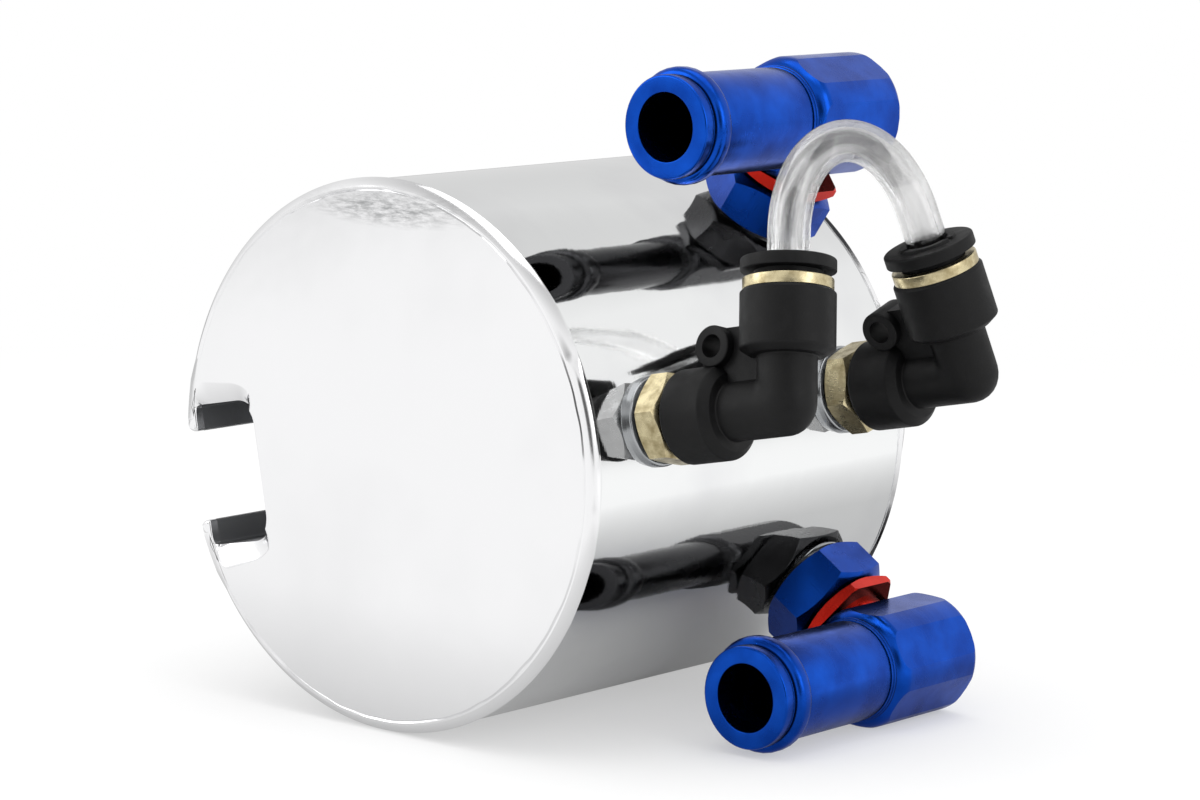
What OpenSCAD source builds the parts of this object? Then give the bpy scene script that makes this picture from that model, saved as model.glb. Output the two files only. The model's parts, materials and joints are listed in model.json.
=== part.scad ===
// Oil catch can with two 90 degree hose ends and a sight tube, lying as it rests on a bench.
// The can's axis is +Y and passes through the origin. Z is up.

/* [Tank] */
// Outside diameter of the tank tube
tank_d = 80; // [76:1:92]
// Wall thickness of the tank tube
tank_wall = 3; // [2:0.25:3.5]
// Length of the tank over both end caps
tank_len = 74; // [72:1:110]
// How far each end cap's rim stands proud of the tube
cap_proud = 0.4; // [0.2:0.1:0.8]
// Thickness of the part of an end cap that is outside the tube
cap_flange = 1.6; // [1.4:0.1:2.4]
// Depth of the end cap's spigot inside the tube
cap_spigot = 2.4; // [1.5:0.1:4]
// Radius of the ground edge round an end cap
cap_edge = 1.3; // [0.5:0.1:1.3]

/* [Mounting channel] */
// Width of the channel's mouth between its two lips
mouth_w = 13.4; // [10:0.2:15]
// Width of the channel inside, behind the lips
channel_w = 21.2; // [20:0.2:26]
// Depth of the channel from the tube's outer surface to its floor
channel_depth = 15; // [13:0.1:18]
// Angle between the sight tube and the channel, round the tank
channel_turn = 179.4; // [170:0.2:190]
// Thickness of the lips at the channel's mouth
lip_t = 2.6; // [2:0.1:3.2]
// Radius of the lips' outer corners
lip_r = 2; // [1:0.1:2.4]
// Wall thickness of the channel
channel_wall = 3; // [2:0.25:3.5]
// Radius of the channel's inner corners
channel_corner = 4; // [2:0.25:5]
// Width of the ground bevel behind each lip on the end caps, at its wide end
bevel_w = 4; // [2:0.1:5]
// Angle by which that bevel narrows towards the channel's floor
bevel_angle = 20; // [0:1:24]

/* [Ports] */
// Angle between the sight tube and each hose port, round the tank
port_spread = 45; // [42:1:60]
// Distance of both hose ports from the near end
port_y = 59; // [54:0.5:60]
// Distance from the tank's surface to the axis of a hose barb
port_reach = 18; // [17.6:0.2:24]
// Bore through a port's bung and swivel neck
port_bore = 8.6; // [6:0.2:9]
// Thread diameter of the bung that is welded into the tank
bung_d = 13.2; // [12.8:0.1:13.6]
// Diameter of the bung's spigot in the tank wall
bung_spigot_d = 14.8; // [13.8:0.1:15.6]
// Width across the flats of the swivel nut
nut_af = 16.5; // [16:0.1:19]
// Height of the swivel nut
nut_h = 7; // [6:0.1:7.2]
// Width across the flats of the swivel neck's hexagon
neck_af = 15.5; // [14:0.1:16.2]

/* [Hose ends] */
// Diameter of the hose barb
barb_d = 15; // [13:0.25:15.5]
// Diameter of the raised bead on the hose barb
bead_d = 17; // [16:0.25:17.5]
// Distance from the barb's open face to the middle of the bead
bead_y = 3.8; // [2.8:0.1:8]
// Width of the bead
bead_w = 3; // [2.4:0.2:4]
// Bore of the hose barb
barb_bore = 10; // [8:0.2:10.6]
// Distance from the port's axis to the barb's open face
barb_reach = 34.5; // [28:0.5:40]
// Diameter that the elbow body's corners are turned to
body_d = 18; // [17.6:0.1:18.6]
// Width across the flats of the elbow body
body_af = 17; // [16.4:0.1:17.4]
// Length of the elbow body from the port's axis towards the barb
body_front = 8.7; // [8.2:0.1:12]
// Length of the elbow body from the port's axis to its closed end
body_back = 11; // [9:0.25:13]
// Width of the chamfer round the elbow body's closed end
body_chamfer = 0.9; // [0.4:0.1:1.4]
// Radius of the shoulder between the elbow body and its barb
shoulder_r = 2.5; // [1.6:0.1:4]

/* [Sight elbows] */
// Distance of the near sight elbow from the near end
sight_y = 14.6; // [13:0.2:18]
// Distance of the far sight elbow from the far end
sight_far = 15.6; // [14:0.2:20]
// Width across the flats of the brass stud's hexagon
stud_af = 12; // [11:0.25:13]
// Height of the brass stud's hexagon
stud_hex_h = 4.4; // [3.5:0.1:5]
// Thread diameter of the brass stud
stud_thread_d = 9.6; // [9:0.1:10.4]
// Diameter of the stud's shank inside the elbow
shank_d = 8.4; // [8:0.1:8.8]
// Bore through the stud
stud_bore = 4.8; // [3:0.1:5]
// Diameter of the elbow's barrels
barrel_d = 13.4; // [13:0.1:14.4]
// Diameter of the elbow's necks
elbow_neck_d = 8.4; // [7.6:0.1:9.2]
// Length of the barrel that turns on the stud
stud_barrel_len = 7.8; // [7:0.1:9]
// Distance from that barrel's end to the axis of the tube
elbow_reach = 17.7; // [17.2:0.1:22]
// Height of the tube barrel's rim above the stud's axis
socket_h = 16; // [15.8:0.1:18]
// Length of the tube barrel
socket_len = 8.2; // [8:0.1:9]
// Outside diameter of the elbow's fixing eye
eye_d = 5.9; // [5.2:0.1:6.4]
// Hole through the elbow's fixing eye
eye_hole_d = 3.3; // [2.6:0.1:3.8]
// Width of the elbow's fixing eye
eye_w = 6; // [4:0.25:8]
// Lean of the near elbow towards the far one
near_lean = 14; // [4:0.5:16]
// Lean of the far elbow towards the near one
far_lean = 17; // [8:0.5:18]

/* [Sight tube] */
// Outside diameter of the sight tube
sight_d = 6; // [5:0.1:6.2]
// Bore of the sight tube
sight_bore = 3.8; // [2.5:0.1:4.2]
// Straight length of the sight tube, from the near stud's axis to the bend
near_leg = 24; // [22.6:0.2:25]
// Diameter of the release collar's flange
collar_d = 13.4; // [12:0.1:14]
// Thickness of the release collar's flange
collar_t = 1.8; // [1.2:0.1:2]
// Gap under the release collar's flange, when the collar is out
collar_gap = 1; // [0.8:0.1:1.4]

/* [Fits] */
// Running clearance on radius between parts that turn or slide
run_gap = 0.05; // [0.03:0.01:0.1]
// Clearance between faces that never touch
face_gap = 0.3; // [0.2:0.05:0.4]
// Clearance on radius in the joints that are welded or screwed
weld_gap = 0.05; // [0.02:0.01:0.1]

/* [Hidden] */
$fn = 96;

cut = 1; // extra length of a cutting solid
tank_r = tank_d / 2;
tank_in_r = tank_r - tank_wall;
rim_r = tank_r + cap_proud;
floor_u = tank_r - channel_depth; // distance of the channel's floor from the tank's axis
lip_u = sqrt(pow(tank_r, 2) - pow(mouth_w / 2, 2)) - lip_t; // and of the lips' inner face

// The tank lies on its end cap rims and on one corner of the lower elbow body.
flat_half = acos(body_af / body_d); // half the angle that one flat of the body takes up
foot_turn = 60 - flat_half; // angle from the port's axis to that corner
port_x = tank_r + port_reach;
foot_x = port_x + body_d / 2 * cos(foot_turn);
foot_z = -body_d / 2 * sin(foot_turn);
lower_angle = -asin(rim_r / norm([foot_x, foot_z])) - atan2(foot_z, foot_x);
sight_angle = lower_angle + port_spread;
upper_angle = sight_angle + port_spread;
channel_angle = sight_angle + channel_turn;

// Heights along a hose port, from the tank's axis outwards.
bung_flange_h = 2.4;
bung_flange_d = 19;
bung_flange_top = sqrt(pow(tank_in_r, 2) - pow(bung_flange_d / 2, 2)) - weld_gap;
nut_low = tank_r + face_gap;
nut_top = nut_low + nut_h;
flat_h = port_x - body_af / 2; // the elbow body's flat that faces the tank
nose_h = 1.5; // thickness of the neck's nose flange
seat_h = nut_low + 2.4; // top of the bung's seat
nose_top = seat_h + nose_h;
nut_bore = bung_d + 2 * run_gap;
nut_throat = 11.2; // bore of the nut's shoulder, round the neck
nut_mouth_d = 13.6; // counterbore in the nut's outer face
nut_mouth_h = 1;
neck_hex_low = nut_top + face_gap;
ring_wire = 0.9;
ring_h = nose_top + 1.15; // middle of the lock ring
port_spigot_d = 11.4; // neck's spigot in the elbow body
port_spigot_h = 2.9;
neck_seal_wire = 0.8;
neck_seal_h = flat_h + 2.1;

// Heights along a sight elbow's stud, from the tank's axis outwards.
boss_d = 18;
boss_h = 5;
boss_spigot_d = 13;
boss_top = sqrt(pow(tank_in_r, 2) - pow(boss_d / 2, 2)) - weld_gap;
stud_low = tank_r + 1.2; // underside of the brass hexagon
barrel_low = stud_low + stud_hex_h + 0.2;
barrel_top = barrel_low + stud_barrel_len;
elbow_x = barrel_low + elbow_reach; // axis of the sight tube
shank_top = barrel_top - 0.8;
stud_seal_wire = 1;
stud_seal_h = barrel_low + 4.6;
eye_x = barrel_top - 1.2; // the fixing eye sits in the corner between the two barrels
eye_z = barrel_d / 2 + eye_hole_d / 2 + 0.65;

// Heights along a tube barrel, from the stud's axis.
socket_low = socket_h - socket_len;
tube_stop = socket_low - 0.2; // shoulder that the sight tube rests on
sleeve_rim = 1.65; // height of the sleeve's visible brass rim
sleeve_top = socket_h + sleeve_rim;
sleeve_skirt_d = 11;
sleeve_bore = 9.5;
seal_low = tube_stop + 1.5; // seat of the tube seal
seal_wire = 1.4;
seal_seat_d = 9.3;
grab_low = seal_low + seal_wire + 0.8; // underside of the grab ring
grab_t = 0.4;
grab_teeth = 8;
collar_low = grab_low + grab_t + collar_gap + 0.2; // nose of the release collar
collar_flange_low = sleeve_top + collar_gap;
collar_top = collar_flange_low + collar_t;

// The sight tube's bend touches both straight legs.
apex_half = (near_lean + far_lean) / 2;
sight_span = tank_len - sight_far - sight_y; // distance between the two sight elbows along the tank
near_side = sight_span * cos(far_lean) / sin(2 * apex_half); // from each stud's axis to where the legs' axes cross
far_side = sight_span * cos(near_lean) / sin(2 * apex_half);
sight_bend_r = (near_side - near_leg) * tan(apex_half);
far_leg = far_side - near_side + near_leg;
bend_y = sight_y + near_leg * sin(near_lean) + sight_bend_r * cos(near_lean);
bend_z = near_leg * cos(near_lean) - sight_bend_r * sin(near_lean);

// Frames and profiles

// Turns +X outwards at an angle round the tank, at a distance from the near end.
module at_port(angle, y) {
    translate([0, y, 0]) rotate([0, -angle, 0]) children();
}

// The frame of a sight elbow: +X out along its stud, +Z up along its tube.
module at_elbow(far) {
    at_port(sight_angle, far ? sight_y + sight_span : sight_y)
        rotate([far ? far_lean : -near_lean, 0, 0]) children();
}

// A cylinder along +X between two heights.
module rod(low, high, d, d2 = 0) {
    translate([low, 0, 0]) rotate([0, 90, 0])
        cylinder(h = high - low, d1 = d, d2 = d2 == 0 ? d : d2);
}

// A ring of round wire round +X.
module wire_ring(x, inner_d, wire) {
    translate([x, 0, 0]) rotate([0, 90, 0]) rotate_extrude()
        translate([inner_d / 2 + wire / 2, 0]) circle(d = wire, $fn = 32);
}

// A hexagonal bar along +X whose flats are turned by an angle.
module hex_rod(low, high, af, turn = 0) {
    translate([low, 0, 0]) rotate([turn, 0, 0]) rotate([0, 90, 0])
        cylinder(h = high - low, d = af / cos(30), $fn = 6);
}

// A hexagon whose corners are chamfered at its lower and its upper end.
module chamfered_hex(low, high, af, low_cut, high_cut, turn = 0) {
    big = af / cos(30) + cut;
    slope = tan(30);
    intersection() {
        hex_rod(low, high, af, turn);
        rotate([0, 90, 0]) rotate_extrude() polygon([
            [0, low], [af / 2 - low_cut, low],
            [big / 2, low + (big / 2 - af / 2 + low_cut) * slope],
            [big / 2, high - (big / 2 - af / 2 + high_cut) * slope],
            [af / 2 - high_cut, high], [0, high]]);
    }
}

// A rectangle with two round corners at its inner end.
module pocket_shape(inner, outer, w, r) {
    translate([inner + r, -w / 2]) square([outer - inner - r, w]);
    translate([inner, -w / 2 + r]) square([r + cut / 2, w - 2 * r]);
    for (side = [-1, 1]) translate([inner + r, side * (w / 2 - r)]) circle(r = r);
}

// Places a flat profile round the tank so that its +X points out of the channel.
module along_tank(low, high) {
    translate([0, high, 0]) rotate([90, 0, 0])
        linear_extrude(high - low) rotate(channel_angle) children();
}

// Tank

// Takes both lips' outer corners off with an arc that runs into the surface.
module lip_corners(outer_r) {
    side = mouth_w / 2 + lip_r;
    mid = sqrt(pow(outer_r - lip_r, 2) - pow(side, 2));
    far = (outer_r + cut) / (outer_r - lip_r);
    for (half = [0, 1]) mirror([0, half, 0]) difference() {
        polygon([[mid, mouth_w / 2 - cut], [mid, side], [mid * far, side * far],
            [outer_r + cut, mouth_w / 2 - cut]]);
        translate([mid, side]) circle(r = lip_r, $fn = 64);
    }
}

// The channel's whole outline: the pocket, its mouth and the lips' round corners.
module channel_shape(outer_r) {
    pocket_shape(floor_u, lip_u, channel_w, channel_corner);
    translate([lip_u - cut, -mouth_w / 2]) square([tank_r, mouth_w]);
    lip_corners(outer_r);
}

module shell_profile() {
    difference() {
        union() {
            difference() {
                circle(r = tank_r, $fn = 180);
                circle(r = tank_in_r, $fn = 180);
            }
            intersection() {
                circle(r = tank_r, $fn = 180);
                pocket_shape(floor_u - channel_wall, tank_r, channel_w + 2 * channel_wall,
                    channel_corner + channel_wall);
            }
        }
        channel_shape(tank_r);
    }
}

module can_shell() {
    color("silver") difference() {
        along_tank(cap_flange, tank_len - cap_flange) shell_profile();
        for (angle = [upper_angle, lower_angle])
            at_port(angle, port_y) rod(tank_r / 2, tank_r + cut, bung_spigot_d + 2 * weld_gap);
        for (y = [sight_y, sight_y + sight_span])
            at_port(sight_angle, y) rod(tank_r / 2, tank_r + cut, boss_spigot_d + 2 * weld_gap);
    }
}

// The slanting cut of the ground bevels, widest where it meets the lips.
module cap_bevels() {
    deep = cap_flange - 0.2;
    intersection() {
        along_tank(-cut, cap_flange) intersection() {
            pocket_shape(floor_u, tank_d, channel_w + 2 * bevel_w, channel_corner + bevel_w);
            translate([floor_u, -tank_r]) square([lip_u - floor_u, tank_d]);
        }
        for (half = [0, 1])
            rotate([0, -channel_angle, 0]) mirror([0, 0, half])
                translate([lip_u, 0, channel_w / 2]) rotate([0, -90 - bevel_angle, 0])
                    translate([0, 0, -bevel_w]) linear_extrude(lip_u)
                        polygon([[bevel_w + bevel_w * cut / deep, -cut], [0, deep],
                            [-channel_w / 2, deep], [-channel_w / 2, -cut]]);
    }
}

// An end cap with its outer face at y = 0 and its spigot towards +Y.
module end_cap() {
    spigot_r = tank_in_r - weld_gap;
    difference() {
        union() {
            rotate([-90, 0, 0]) rotate_extrude($fn = 180) {
                square([rim_r - cap_edge, cap_flange]);
                intersection() {
                    translate([rim_r - cap_edge, cap_edge]) circle(r = cap_edge, $fn = 48);
                    translate([rim_r - cap_edge, 0]) square([cap_edge, cap_edge]);
                }
                translate([rim_r - 2 * cap_edge, cap_edge])
                    square([2 * cap_edge, cap_flange - cap_edge]);
            }
            difference() {
                rotate([-90, 0, 0]) cylinder(r = spigot_r, h = cap_flange + cap_spigot, $fn = 180);
                along_tank(cap_flange, cap_flange + cap_spigot + cut)
                    pocket_shape(floor_u - channel_wall - weld_gap, tank_r,
                        channel_w + 2 * channel_wall + 2 * weld_gap,
                        channel_corner + channel_wall + weld_gap);
            }
        }
        along_tank(-cut, cap_flange + cut) channel_shape(rim_r);
        cap_bevels();
    }
}

module near_end_cap() {
    color("gainsboro") end_cap();
}

module far_end_cap() {
    color("gainsboro") translate([0, tank_len, 0]) mirror([0, 1, 0]) end_cap();
}

// Hose ports

module port_bung(angle) {
    color("silver") at_port(angle, port_y) difference() {
        union() {
            rod(bung_flange_top - bung_flange_h, bung_flange_top, bung_flange_d);
            rod(bung_flange_top - cut, tank_r - 0.4, bung_spigot_d);
            rod(tank_r - 0.5, seat_h - 1, bung_d);
            rod(seat_h - 1, seat_h - 0.1, bung_d, bung_d - 2);
        }
        rod(bung_flange_top - bung_flange_h - cut, seat_h + cut, port_bore);
    }
}

module swivel_nut(angle) {
    color("royalblue") at_port(angle, port_y) difference() {
        chamfered_hex(nut_low, nut_top, nut_af, 0.2, 0.8, 90);
        rod(nut_low - cut, nose_top + run_gap, nut_bore);
        rod(nut_low, nut_top + cut, nut_throat);
        rod(nut_top - nut_mouth_h, nut_top + cut, nut_mouth_d);
        wire_ring(ring_h, nut_throat - ring_wire - 0.2, ring_wire + 0.2);
    }
}

module swivel_neck(angle) {
    neck_d = nut_throat - 2 * run_gap;
    color("red") at_port(angle, port_y) difference() {
        union() {
            rod(seat_h, nose_top, bung_d - 0.2);
            rod(nose_top - cut, neck_hex_low + 0.2, neck_d);
            rod(nut_top - nut_mouth_h + face_gap, neck_hex_low + 0.1, nut_mouth_d - 0.6);
            chamfered_hex(neck_hex_low, flat_h, neck_af, 0.3, -0.8, 90);
            rod(flat_h - 0.6, flat_h + port_spigot_h, port_spigot_d);
        }
        rod(seat_h - cut, flat_h + port_spigot_h + cut, port_bore);
        wire_ring(ring_h, neck_d - ring_wire - 0.2, ring_wire + 0.2);
        wire_ring(neck_seal_h, port_spigot_d - 2 * neck_seal_wire + 0.1, neck_seal_wire + 0.1);
    }
}

module lock_ring(angle) {
    color("dimgray") at_port(angle, port_y)
        wire_ring(ring_h, nut_throat - run_gap - ring_wire, ring_wire);
}

module neck_seal(angle) {
    color("black") at_port(angle, port_y)
        wire_ring(neck_seal_h, port_spigot_d - 2 * neck_seal_wire + 0.1, neck_seal_wire);
}

// Outline of the hose barb and its body, turned about the barb's axis, open face at zero.
module barb_profile() {
    body_low = barb_reach - body_front;
    body_high = barb_reach + body_back;
    r = barb_d / 2;
    big_r = body_d / 2;
    edge = 0.4;
    groove = 0.3;
    bead_low = bead_y - bead_w / 2;
    bead_high = bead_y + bead_w / 2;
    difference() {
        union() {
            polygon([[0, 0], [r - edge, 0], [r, edge], [r, body_low + cut], [0, body_low + cut]]);
            translate([bead_d / 2 - bead_w / 2, bead_y]) circle(d = bead_w, $fn = 48);
            translate([0, body_low]) square([big_r - shoulder_r, shoulder_r]);
            translate([big_r - shoulder_r, body_low + shoulder_r]) circle(r = shoulder_r, $fn = 64);
            polygon([[0, body_low + shoulder_r], [big_r, body_low + shoulder_r],
                [big_r, body_high - body_chamfer], [big_r - body_chamfer, body_high],
                [0, body_high]]);
        }
        translate([r - groove, bead_low - 0.5]) square([groove + cut, 0.6]);
        translate([r - groove, bead_high - 0.1]) square([groove + cut, 0.6]);
        translate([-bead_w, -cut]) square([bead_w, 2 * barb_reach]);
    }
}

module hose_elbow(angle) {
    color("mediumblue") at_port(angle, port_y) difference() {
        intersection() {
            translate([port_x, -barb_reach, 0]) rotate([-90, 0, 0]) rotate_extrude() barb_profile();
            translate([port_x, 0, 0]) rotate([-90, 0, 0]) rotate([0, 0, 30])
                cylinder(h = 4 * barb_reach, d = body_af / cos(30), center = true, $fn = 6);
        }
        translate([port_x, -barb_reach - cut, 0]) rotate([-90, 0, 0])
            cylinder(h = barb_reach + port_bore / 2 + cut, d = barb_bore);
        rod(flat_h - cut, port_x, port_bore);
        rod(flat_h - cut, flat_h + port_spigot_h + 0.1, port_spigot_d + 2 * weld_gap);
    }
}

// Sight elbows

module sight_boss(y) {
    color("silver") at_port(sight_angle, y) difference() {
        union() {
            rod(boss_top - boss_h, boss_top, boss_d);
            rod(boss_top - cut, stud_low - 0.2, boss_spigot_d);
        }
        rod(boss_top - boss_h - cut, tank_r + cut, stud_thread_d + 2 * weld_gap);
    }
}

module brass_stud(far) {
    color("tan") at_elbow(far) difference() {
        union() {
            rod(boss_top - boss_h + 0.5, stud_low + 0.1, stud_thread_d);
            chamfered_hex(stud_low, stud_low + stud_hex_h, stud_af, 0.5, 0.3, 30);
            rod(stud_low + stud_hex_h - cut, shank_top, shank_d);
        }
        rod(boss_top - boss_h, shank_top + cut, stud_bore);
        wire_ring(stud_seal_h, shank_d - 2 * stud_seal_wire, stud_seal_wire + 0.1);
    }
}

module stud_seal(far) {
    color("black") at_elbow(far)
        wire_ring(stud_seal_h, shank_d - 2 * stud_seal_wire + 0.05, stud_seal_wire);
}

module elbow_body(far) {
    color([0.12, 0.12, 0.13]) at_elbow(far) difference() {
        union() {
            rod(barrel_low, barrel_low + 0.6, barrel_d - 1.2, barrel_d);
            rod(barrel_low + 0.6, barrel_top - 0.6, barrel_d);
            rod(barrel_top - 0.6, barrel_top + 0.6, barrel_d, barrel_d - 2.4);
            rod(barrel_top, elbow_x, elbow_neck_d);
            translate([elbow_x, 0, 0]) {
                sphere(d = elbow_neck_d);
                cylinder(h = socket_low, d = elbow_neck_d);
                translate([0, 0, socket_low - 0.9])
                    cylinder(h = 0.9, d1 = barrel_d - 2.8, d2 = barrel_d);
                translate([0, 0, socket_low]) cylinder(h = socket_len - 0.4, d = barrel_d);
                translate([0, 0, socket_h - 0.4])
                    cylinder(h = 0.4, d1 = barrel_d, d2 = barrel_d - 0.8);
            }
            elbow_eye();
        }
        rod(barrel_low - cut, shank_top + 0.2, shank_d + 2 * run_gap);
        rod(shank_top, elbow_x, stud_bore);
        translate([elbow_x, 0, 0]) {
            sphere(d = stud_bore);
            cylinder(h = tube_stop + cut, d = stud_bore);
            translate([0, 0, tube_stop]) cylinder(h = socket_len, d = sight_d + 4 * run_gap);
            translate([0, 0, seal_low]) cylinder(h = socket_len, d = seal_seat_d);
            translate([0, 0, grab_low]) cylinder(h = socket_len, d = sleeve_skirt_d + 2 * weld_gap);
        }
        translate([eye_x, 0, eye_z]) rotate([90, 0, 0])
            cylinder(h = eye_w + 2 * cut, d = eye_hole_d, center = true, $fn = 48);
    }
}

module elbow_eye() {
    web_w = eye_w - 3;
    translate([eye_x, 0, eye_z]) rotate([90, 0, 0])
        cylinder(h = eye_w, d = eye_d, center = true, $fn = 48);
    translate([eye_x - eye_d / 2 + 0.4, -web_w / 2, barrel_d / 2 - cut])
        cube([eye_d, web_w, eye_d / 2 + cut]);
    translate([eye_x, -web_w / 2, eye_z - eye_d / 2 + 0.4])
        cube([elbow_x - eye_x - elbow_neck_d / 2 + 0.4, web_w, eye_d / 2 + 0.4]);
    translate([barrel_top - cut, -web_w / 2, elbow_neck_d / 2 - 0.6])
        cube([elbow_x - elbow_neck_d / 2 - barrel_top + cut + 0.4, web_w, eye_z - elbow_neck_d / 2]);
}

module brass_sleeve(far) {
    color("tan") at_elbow(far) translate([elbow_x, 0, 0]) difference() {
        union() {
            translate([0, 0, grab_low + grab_t + 0.1])
                cylinder(h = socket_h - grab_low - grab_t, d = sleeve_skirt_d);
            translate([0, 0, socket_h]) cylinder(h = sleeve_rim - 0.2, d = barrel_d - 0.7);
            translate([0, 0, sleeve_top - 0.2])
                cylinder(h = 0.2, d1 = barrel_d - 0.7, d2 = barrel_d - 1.1);
        }
        translate([0, 0, grab_low]) cylinder(h = socket_len, d = sleeve_bore);
    }
}

module grab_ring(far) {
    inner_d = sight_d + 0.4;
    color("silver") at_elbow(far) translate([elbow_x, 0, grab_low]) difference() {
        cylinder(h = grab_t, d = sleeve_skirt_d - 0.1);
        translate([0, 0, -cut]) cylinder(h = grab_t + 2 * cut, d = inner_d);
        for (i = [0 : grab_teeth - 1]) rotate([0, 0, i * 360 / grab_teeth])
            translate([0, -0.25, -cut]) cube([sleeve_bore / 2, 0.5, grab_t + 2 * cut]);
    }
}

module tube_seal(far) {
    color("black") at_elbow(far) translate([elbow_x, 0, seal_low + seal_wire / 2 + 0.1])
        rotate([0, -90, 0]) wire_ring(0, sight_d + 0.4, seal_wire);
}

module release_collar(far) {
    lip_d = sight_d + 2.4;
    color([0.1, 0.1, 0.11]) at_elbow(far) translate([elbow_x, 0, 0]) difference() {
        union() {
            translate([0, 0, collar_low]) cylinder(h = 0.8, d1 = lip_d, d2 = sleeve_bore - 2 * run_gap);
            translate([0, 0, collar_low + 0.8])
                cylinder(h = collar_flange_low - collar_low, d = sleeve_bore - 2 * run_gap);
            translate([0, 0, collar_flange_low]) cylinder(h = collar_t - 0.3, d = collar_d);
            translate([0, 0, collar_top - 0.3]) cylinder(h = 0.3, d1 = collar_d, d2 = collar_d - 0.6);
            translate([0, 0, collar_top]) cylinder(h = 0.4, d = lip_d);
        }
        translate([0, 0, collar_low - cut])
            cylinder(h = collar_top - collar_low + 3 * cut, d = sight_d + 4 * run_gap);
        for (turn = [0, 90]) rotate([0, 0, turn])
            translate([-sleeve_bore, -0.3, collar_low - cut]) cube([2 * sleeve_bore, 0.6, 3 + cut]);
    }
}

// Sight tube

// The two straight legs and the bend between them, which is a hair thinner.
module sight_route(d, extra) {
    lap = 0.3;
    at_elbow(false) translate([elbow_x, 0, tube_stop + 0.2 - extra])
        cylinder(h = near_leg - tube_stop - 0.2 + extra + lap, d = d, $fn = 40);
    at_elbow(true) translate([elbow_x, 0, tube_stop + 0.2 - extra])
        cylinder(h = far_leg - tube_stop - 0.2 + extra + lap, d = d, $fn = 40);
    at_port(sight_angle, 0) translate([elbow_x, bend_y, bend_z]) rotate([0, 90, 0])
        rotate([0, 0, 90 + far_lean]) rotate_extrude(angle = 180 - near_lean - far_lean, $fn = 96)
            translate([sight_bend_r, 0]) circle(d = d - 0.04, $fn = 40);
}

module sight_tube() {
    color([0.85, 0.9, 0.95, 0.5]) difference() {
        sight_route(sight_d, 0);
        sight_route(sight_bore, cut);
    }
}

can_shell();
near_end_cap();
far_end_cap();
port_bung(upper_angle);  // upper_port_bung
port_bung(lower_angle);  // lower_port_bung
swivel_nut(upper_angle);  // upper_swivel_nut
swivel_nut(lower_angle);  // lower_swivel_nut
swivel_neck(upper_angle);  // upper_swivel_neck
swivel_neck(lower_angle);  // lower_swivel_neck
lock_ring(upper_angle);  // upper_lock_ring
lock_ring(lower_angle);  // lower_lock_ring
neck_seal(upper_angle);  // upper_neck_seal
neck_seal(lower_angle);  // lower_neck_seal
hose_elbow(upper_angle);  // upper_hose_elbow
hose_elbow(lower_angle);  // lower_hose_elbow
sight_boss(sight_y);  // near_sight_boss
sight_boss(sight_y + sight_span);  // far_sight_boss
brass_stud(false);  // near_brass_stud
brass_stud(true);  // far_brass_stud
stud_seal(false);  // near_stud_seal
stud_seal(true);  // far_stud_seal
elbow_body(false);  // near_elbow_body
elbow_body(true);  // far_elbow_body
brass_sleeve(false);  // near_brass_sleeve
brass_sleeve(true);  // far_brass_sleeve
grab_ring(false);  // near_grab_ring
grab_ring(true);  // far_grab_ring
tube_seal(false);  // near_tube_seal
tube_seal(true);  // far_tube_seal
release_collar(false);  // near_release_collar
release_collar(true);  // far_release_collar
sight_tube();
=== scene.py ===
# Oil catch can: polished tank, two swivelling hose ends, sight tube in push-in elbows.
import json
import bmesh
import bpy
import numpy as np
from mathutils import Matrix, Vector, geometry


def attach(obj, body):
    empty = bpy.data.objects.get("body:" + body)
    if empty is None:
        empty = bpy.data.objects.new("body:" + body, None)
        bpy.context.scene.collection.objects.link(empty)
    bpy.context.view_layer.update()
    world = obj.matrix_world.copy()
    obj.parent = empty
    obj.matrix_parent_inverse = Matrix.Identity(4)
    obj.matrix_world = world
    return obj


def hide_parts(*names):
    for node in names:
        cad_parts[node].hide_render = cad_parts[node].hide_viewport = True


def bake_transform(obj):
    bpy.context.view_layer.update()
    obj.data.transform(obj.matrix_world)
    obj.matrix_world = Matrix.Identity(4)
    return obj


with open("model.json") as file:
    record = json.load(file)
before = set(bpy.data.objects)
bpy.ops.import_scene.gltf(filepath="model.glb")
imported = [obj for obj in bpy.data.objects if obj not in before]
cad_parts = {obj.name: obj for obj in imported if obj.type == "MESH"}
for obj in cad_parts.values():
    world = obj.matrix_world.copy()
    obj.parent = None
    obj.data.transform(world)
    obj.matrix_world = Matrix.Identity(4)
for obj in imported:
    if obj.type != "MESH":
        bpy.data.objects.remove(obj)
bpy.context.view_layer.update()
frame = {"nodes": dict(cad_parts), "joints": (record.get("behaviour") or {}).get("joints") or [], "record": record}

mm = 0.001
nodes = frame["nodes"]

joints = {joint["name"]: joint for joint in frame["joints"]}


def angleOf(name):
    # Where a joint's axis points round the can, in degrees
    axis = joints[name]["axis"]
    return float(np.degrees(np.arctan2(axis[2], axis[0])))


def leanOf(name):
    # How far a collar's axis leans along the can, in degrees
    return float(np.degrees(np.arcsin(abs(joints[name]["axis"][1]))))


def alongOf(name):
    # A joint's distance from the near end, in millimetres
    return joints[name]["pos_m"][1] / mm


# The tank and where its fittings stand, in millimetres and degrees; the places come from the solids' joints
can = {
    "radius": 40.0, "innerRadius": 37.0, "length": 74.0, "rimRadius": 40.4, "capFlange": 1.6,
    "lowerAngle": angleOf("lower_hose_swivel"), "upperAngle": angleOf("upper_hose_swivel"),
    "sightAngle": angleOf("near_elbow_turn"),
    "channelAngle": angleOf("near_elbow_turn") + 179.4,  # all but opposite the sight tube
    "portY": alongOf("upper_hose_swivel"), "sightY": alongOf("near_elbow_turn"),
    "sightSpan": alongOf("far_elbow_turn") - alongOf("near_elbow_turn"),
    "nearLean": leanOf("near_collar_push"), "farLean": leanOf("far_collar_push"),
}


# Shapes as arrays

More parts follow.
